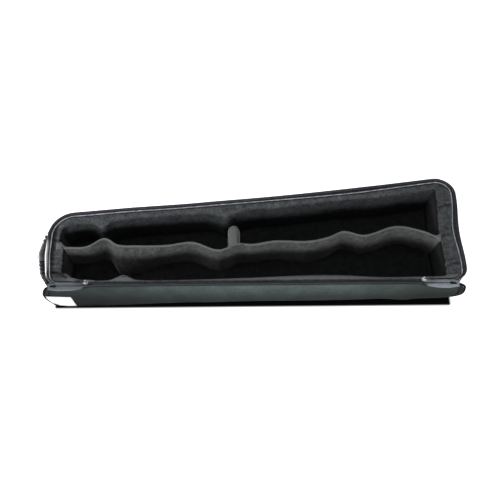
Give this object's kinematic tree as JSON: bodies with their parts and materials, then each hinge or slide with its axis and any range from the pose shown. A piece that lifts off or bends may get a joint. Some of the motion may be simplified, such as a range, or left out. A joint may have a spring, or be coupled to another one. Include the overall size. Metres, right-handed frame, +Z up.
{
  "type": "musical instrument case",
  "caption": "Soft padded zip case for a straight soprano saxophone, lying open: wavy plush divider, hinged soft lid, zip sliders and end handle.",
  "frame": {"origin": "on the surface that the case lies on, at mid length, under the part of the lid that is tucked beneath the base", "axes": "+X along the case from the narrow end to the wide bell end, +Y from the hinge side to the zip side, +Z up"},
  "size_m": [0.7394, 0.21, 0.0903],
  "materials": {
    "nylon": "satin",
    "foam": "matte",
    "plush": "matte",
    "lining": "matte",
    "zip_tape": "matte",
    "zip_coil": "satin",
    "slider_metal": "polished",
    "handle_plastic": "satin",
    "webbing": "matte",
    "label": "matte",
    "rivet_metal": "satin"
  },
  "bodies": {
    "base": {"outer_cover": "nylon", "foam_core": "foam", "plush_insert": "plush", "divider_wall": "plush", "cross_post": "plush", "rim_piping": "nylon", "rim_zip_tape": "zip_tape", "rim_zip_coil": "zip_coil", "handle_strip": "handle_plastic", "handle_grip": "handle_plastic", "handle_ribs": "handle_plastic", "handle_far_mount": "handle_plastic", "handle_near_mount": "handle_plastic", "handle_rivets": "rivet_metal", "carry_strap": "webbing", "carry_sleeve": "nylon"},
    "lid_front": {"hinge_strip": "nylon", "front_nylon": "nylon", "front_pad": "foam", "front_lining": "lining", "front_piping": "nylon", "front_zip_tape": "zip_tape", "front_zip_coil": "zip_coil", "blank_label": "label"},
    "lid_back": {"back_nylon": "nylon", "back_pad": "foam", "back_lining": "lining", "back_piping": "nylon", "back_zip_tape": "zip_tape", "back_zip_coil": "zip_coil"},
    "left_slider": {"left_zip_slider": "slider_metal"},
    "left_tab": {"left_pull_tab": "slider_metal"},
    "right_slider": {"right_zip_slider": "slider_metal"},
    "right_tab": {"right_pull_tab": "slider_metal"}
  },
  "joints": [
    {"name": "lid_hinge", "type": "hinge", "parent": "base", "child": "lid_front", "pos_m": [0, -0.04525, 0.08945], "axis": [-1, 0, 0], "range_deg": [0, 270]},
    {"name": "lid_fold", "type": "hinge", "parent": "lid_front", "child": "lid_back", "pos_m": [0, -0.0482, 0.0027], "axis": [-1, 0, 0], "range_deg": [0, 90]},
    {"name": "left_slider_travel", "type": "slide", "parent": "base", "child": "left_slider", "axis": [-1, 0, 0], "range_m": [0, 0.025]},
    {"name": "left_tab_flip", "type": "hinge", "parent": "left_slider", "child": "left_tab", "pos_m": [-0.285, -0.0424, 0.0891], "axis": [0, 1, 0], "range_deg": [0, 180]},
    {"name": "right_slider_travel", "type": "slide", "parent": "base", "child": "right_slider", "axis": [1, 0, 0], "range_m": [0, 0.025]},
    {"name": "right_tab_flip", "type": "hinge", "parent": "right_slider", "child": "right_tab", "pos_m": [0.29, -0.0424, 0.0891], "axis": [0, -1, 0], "range_deg": [0, 180]}
  ]
}
